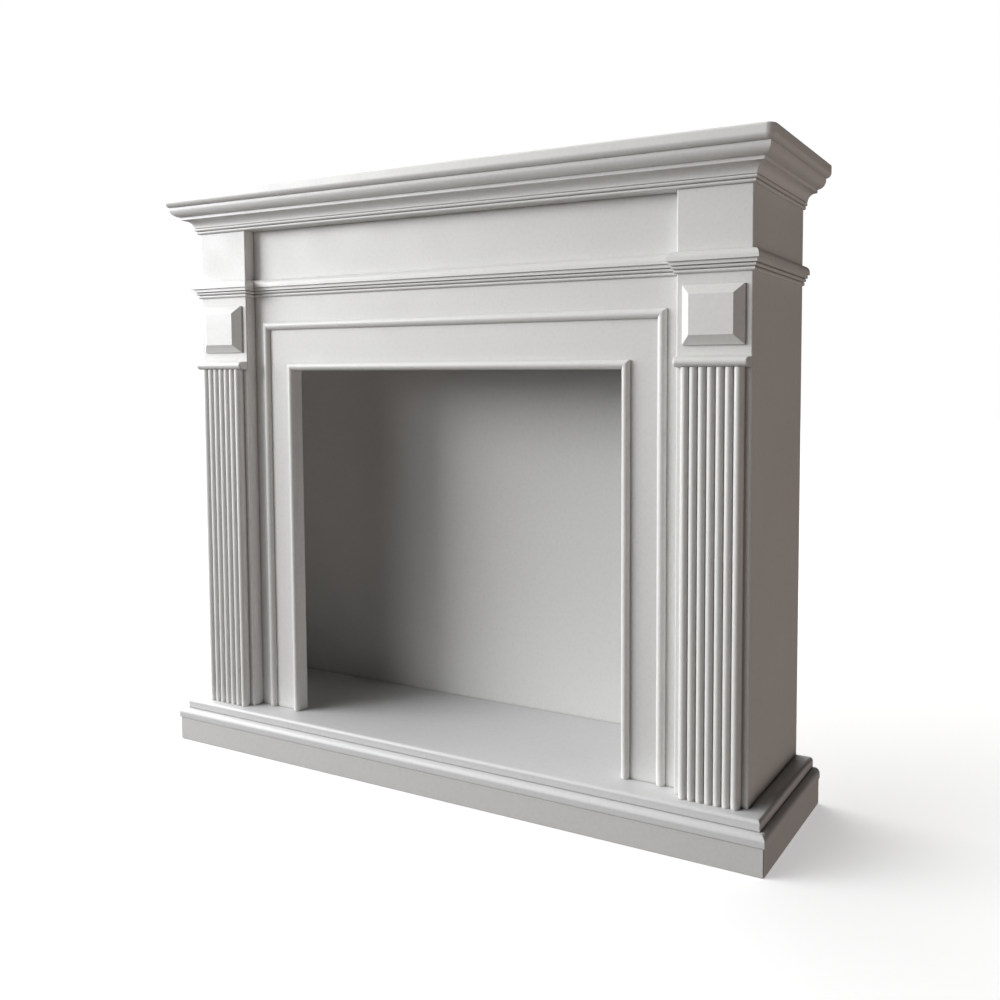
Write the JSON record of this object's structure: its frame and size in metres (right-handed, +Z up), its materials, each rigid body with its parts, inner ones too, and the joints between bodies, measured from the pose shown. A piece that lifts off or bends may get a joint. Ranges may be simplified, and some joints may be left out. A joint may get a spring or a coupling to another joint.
{
  "type": "fireplace mantelpiece",
  "caption": "Painted free-standing mantelpiece with reeded piers, mitred frame mouldings round a rectangular opening, a belt moulding, a crown, a shelf and a hearth base.",
  "frame": {"origin": "middle of the footprint on the floor, taken on the bounding box", "axes": "+X to the right across the front, +Y towards the wall behind, +Z up; the front faces -Y"},
  "size_m": [1.222, 0.276, 1.05],
  "materials": {
    "body_paint": "satin white paint sprayed on fibreboard",
    "trim_paint": "satin white paint on moulded fibreboard",
    "base_paint": "satin white paint on nosed fibreboard",
    "plinth_paint": "matt light grey paint on fibreboard",
    "inside_paint": "matt white paint on thin fibreboard"
  },
  "bodies": {
    "root": {"plinth_front": "plinth_paint", "plinth_left": "plinth_paint", "plinth_right": "plinth_paint", "plinth_back": "plinth_paint", "base_board": "base_paint", "hearth_slab": "base_paint", "side_panel_left": "body_paint", "side_panel_right": "body_paint", "back_panel": "inside_paint", "front_panel": "body_paint", "pier_left": "body_paint", "pier_right": "body_paint", "reeded_panel_left": "body_paint", "reeded_panel_right": "body_paint", "necking_left": "trim_paint", "necking_right": "trim_paint", "bevelled_block_left": "trim_paint", "bevelled_block_right": "trim_paint", "outer_frame_head": "trim_paint", "outer_frame_left": "trim_paint", "outer_frame_right": "trim_paint", "inner_frame_head": "trim_paint", "inner_frame_left": "trim_paint", "inner_frame_right": "trim_paint", "belt_middle": "trim_paint", "belt_return_left": "trim_paint", "belt_return_right": "trim_paint", "belt_pier_left": "trim_paint", "belt_pier_right": "trim_paint", "belt_side_left": "trim_paint", "belt_side_right": "trim_paint", "crown_front": "trim_paint", "crown_left": "trim_paint", "crown_right": "trim_paint", "crown_rail": "body_paint", "shelf": "trim_paint"}
  },
  "joints": []
}
